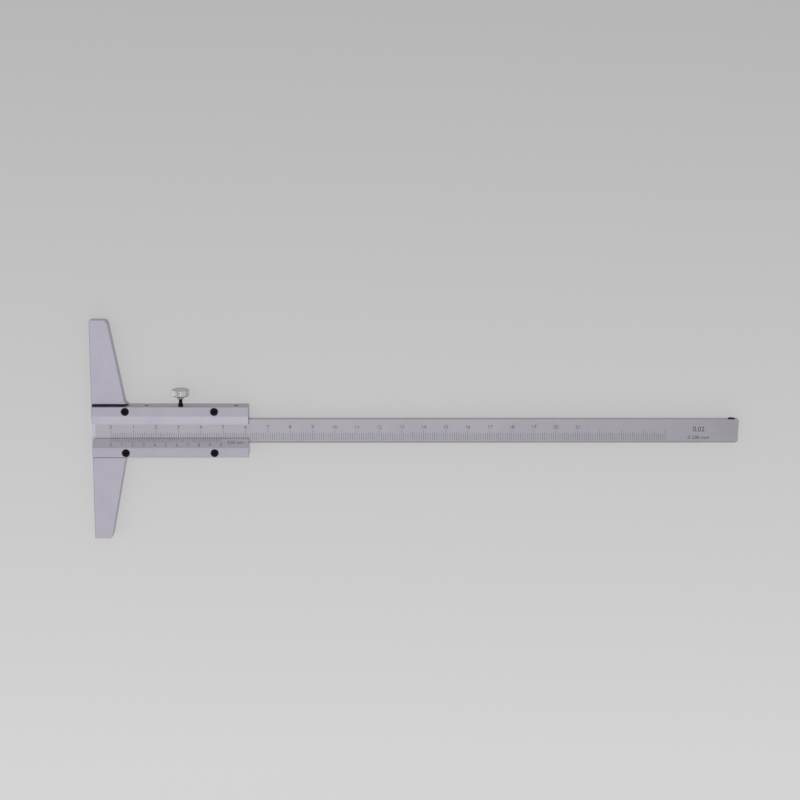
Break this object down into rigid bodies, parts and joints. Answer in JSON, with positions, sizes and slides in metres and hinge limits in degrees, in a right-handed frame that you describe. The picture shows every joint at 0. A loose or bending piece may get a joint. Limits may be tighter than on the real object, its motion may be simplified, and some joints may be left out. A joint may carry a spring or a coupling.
{
  "type": "vernier caliper",
  "caption": "Depth vernier caliper: a T-shaped base with a screwed slider housing, a sliding scale beam, a vernier plate and a lock screw on a gib.",
  "frame": {"origin": "centre of the beam's measuring end at the zero reading, in the measuring plane", "axes": "+X along the beam away from the measuring plane, +Y towards the lock screw, +Z out of the scale face; the tool lies on its flat back"},
  "size_m": [0.292, 0.1, 0.009],
  "materials": {
    "frame_steel": "ground satin",
    "plate_steel": "ground satin",
    "vernier_steel": "matt satin with black filled graduations",
    "beam_steel": "ground satin with black filled graduations",
    "black_steel": "black oxide",
    "gib_brass": "milled",
    "knob_chrome": "polished, knurled"
  },
  "bodies": {
    "frame": {"frame_body": "frame_steel", "cover_plate": "plate_steel", "vernier_plate": "vernier_steel", "cover_screw_left": "black_steel", "cover_screw_right": "black_steel", "vernier_screw_left": "black_steel", "vernier_screw_right": "black_steel", "gib_set_screw_left": "black_steel", "gib_set_screw_right": "black_steel"},
    "beam": {"beam": "beam_steel", "beam_stop_screw": "black_steel"},
    "gib": {"gib_strip": "gib_brass"},
    "lock_screw": {"lock_screw_stud": "black_steel", "lock_screw_knob": "knob_chrome"}
  },
  "joints": [
    {"name": "beam_slide", "type": "slide", "parent": "frame", "child": "beam", "axis": [-1, 0, 0], "range_m": [-0.02, 0.217]},
    {"name": "gib_press", "type": "slide", "parent": "frame", "child": "gib", "axis": [0, -1, 0], "range_m": [0, 0.00025]},
    {"name": "lock_screw_turn", "type": "hinge", "parent": "gib", "child": "lock_screw", "pos_m": [0.0396, 0.01, 0], "axis": [0, -1, 0], "range_deg": [0, 180]}
  ],
  "couplings": [
    {"joint": "lock_screw_turn", "follows": "gib_press", "rad_per_m": 12566}
  ]
}
